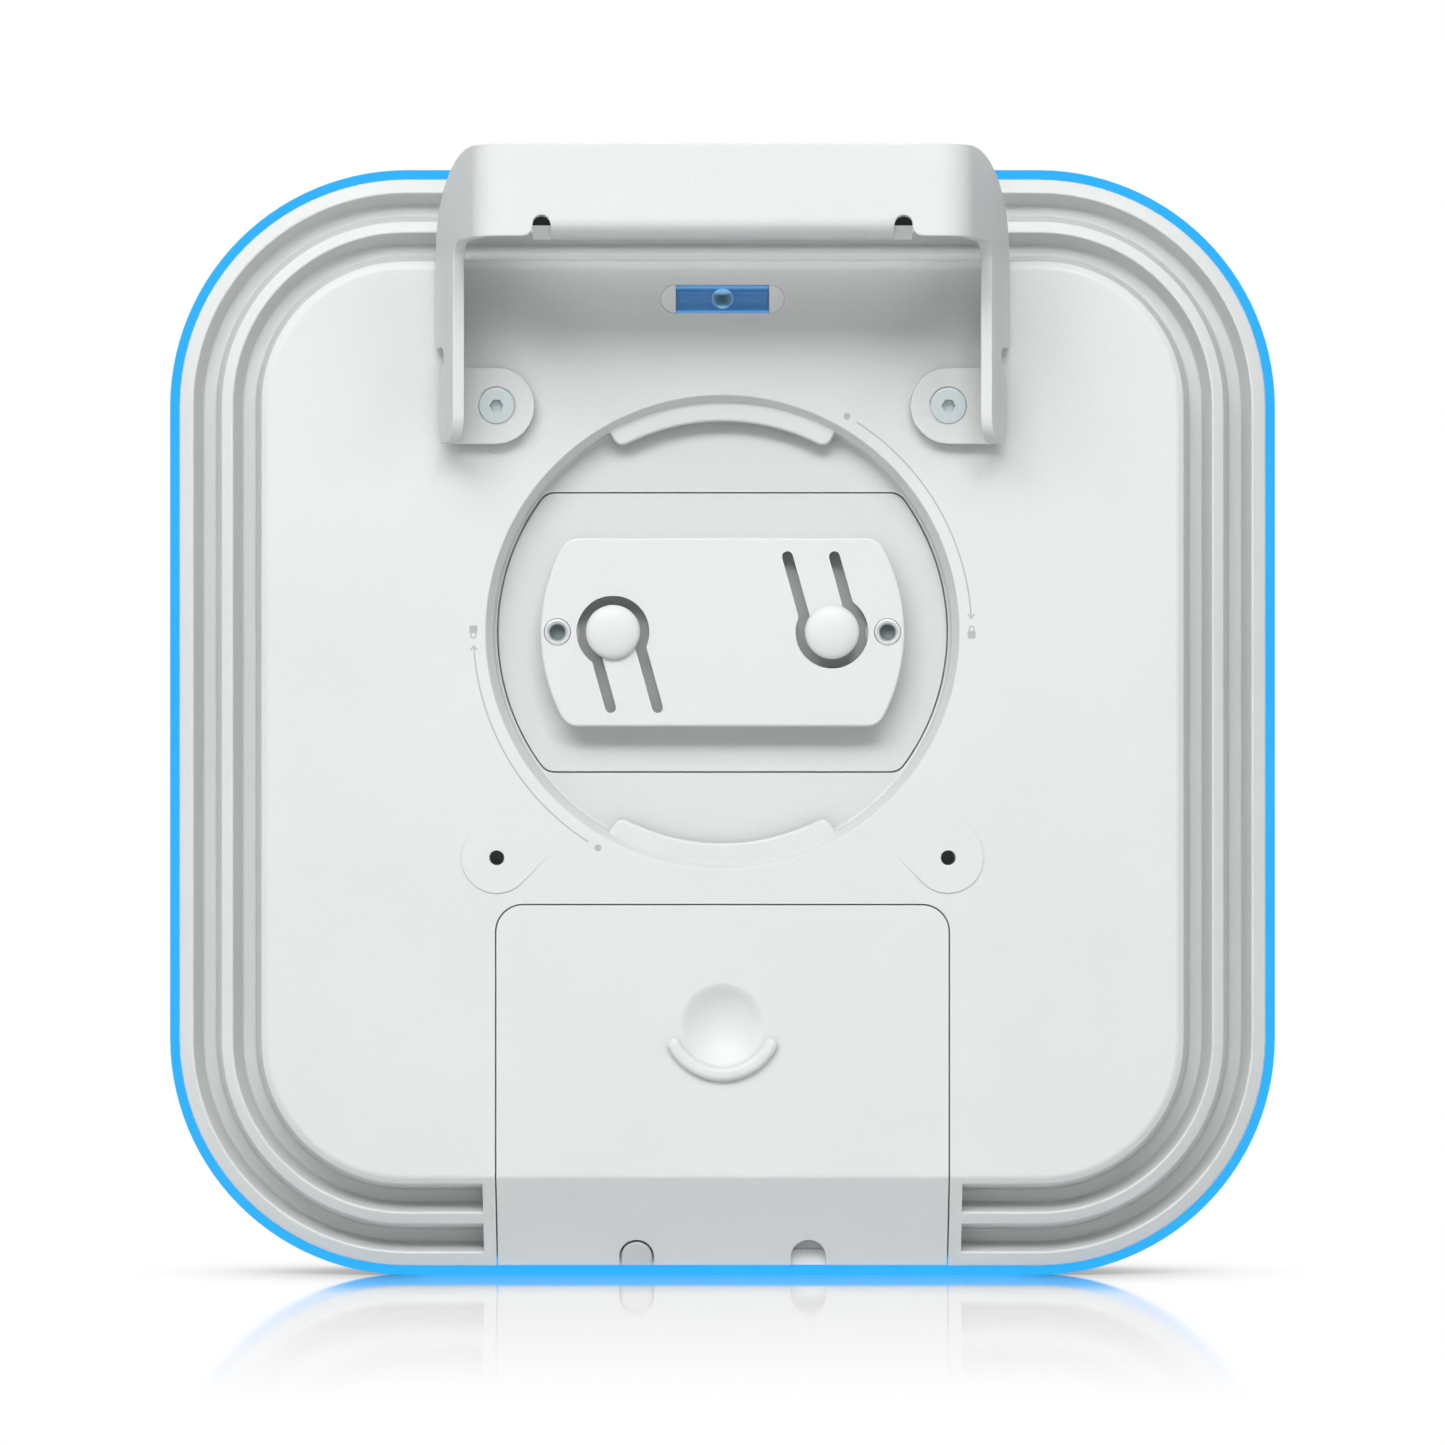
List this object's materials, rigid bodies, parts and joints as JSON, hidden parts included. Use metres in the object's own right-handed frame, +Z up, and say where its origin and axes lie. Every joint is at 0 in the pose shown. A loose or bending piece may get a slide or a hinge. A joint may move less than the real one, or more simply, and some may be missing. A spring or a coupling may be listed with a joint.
{
  "type": "ceiling access point",
  "caption": "Square radio access point with round corners, a lit edge ring, a ribbed rear housing, a twist-lock recess, a sliding port cover and a bent steel wall bracket.",
  "frame": {"origin": "middle of the flat wall face of the bracket plate", "axes": "+Z up the wall, +Y from the wall into the unit so that the plain front looks along +Y, X across"},
  "size_m": [0.286, 0.094, 0.2882],
  "materials": {
    "housing": "fine matt white paint over cast aluminium",
    "plastic": "moulded white, satin",
    "radome": "moulded white, satin, lets radio through",
    "light_guide": "clear guide lit blue",
    "bracket": "white powder coat over steel sheet",
    "screw": "bright steel",
    "bush": "bright steel",
    "vial": "clear blue",
    "vial_cap": "clear",
    "bubble": "air bubble",
    "plug": "light grey soft rubber",
    "gasket": "black foam rubber",
    "board": "green solder mask",
    "tin": "tinned steel",
    "plain_aluminium": "plain",
    "pad": "soft grey",
    "brass": "plain",
    "black": "black",
    "button": "dark grey",
    "strip": "white circuit strip with lamps"
  },
  "bodies": {
    "unit": {"rear_housing": "housing", "recess_cup": "housing", "lock_insert": "plastic", "front_radome": "radome", "light_ring": "light_guide", "mount_bracket": "bracket", "left_bracket_screw": "screw", "right_bracket_screw": "screw", "insert_screw_1": "screw", "insert_screw_2": "screw", "insert_screw_3": "screw", "insert_screw_4": "screw", "plate_screw_1": "screw", "plate_screw_2": "screw", "plate_screw_3": "screw", "plate_screw_4": "screw", "left_lock_bush": "bush", "right_lock_bush": "bush", "level_vial": "vial", "left_level_cap": "vial_cap", "right_level_cap": "vial_cap", "housing_gasket": "gasket", "main_board": "board", "processor_shield": "tin", "left_radio_shield": "tin", "right_radio_shield": "tin", "heat_spreader": "plain_aluminium", "antenna_plate": "plain_aluminium", "thermal_pad": "pad", "board_standoff_1": "brass", "board_standoff_2": "brass", "board_standoff_3": "brass", "board_standoff_4": "brass", "patch_antenna_1": "brass", "patch_antenna_2": "brass", "patch_antenna_3": "brass", "patch_antenna_4": "brass", "left_port_jack": "black", "right_port_jack": "black", "reset_switch": "black", "top_led_strip": "strip", "bottom_led_strip": "strip", "left_led_strip": "strip", "right_led_strip": "strip"},
    "port_door": {"port_door": "plastic", "cable_blank_plug": "plug"},
    "left_latch": {"left_latch_finger": "plastic"},
    "right_latch": {"right_latch_finger": "plastic"},
    "reset": {"reset_button": "button"},
    "bubble": {"level_bubble": "bubble"}
  },
  "joints": [
    {"name": "door_slide", "type": "slide", "parent": "unit", "child": "port_door", "axis": [0, 0, -1], "range_m": [0, 0.096]},
    {"name": "left_latch_press", "type": "hinge", "parent": "unit", "child": "left_latch", "pos_m": [-0.02239, 0.04325, -0.1309], "axis": [-1, 0, 0], "range_deg": [0, 5.5], "stiffness_Nm_per_rad": 1},
    {"name": "right_latch_press", "type": "hinge", "parent": "unit", "child": "right_latch", "pos_m": [0.02239, 0.04325, -0.09], "axis": [1, 0, 0], "range_deg": [0, 5.5], "stiffness_Nm_per_rad": 1},
    {"name": "reset_press", "type": "slide", "parent": "unit", "child": "reset", "axis": [0, 1, 0], "range_m": [0, 0.0004], "stiffness_N_per_m": 2500},
    {"name": "bubble_slide", "type": "slide", "parent": "unit", "child": "bubble", "axis": [1, 0, 0], "range_m": [-0.004, 0.004]}
  ]
}
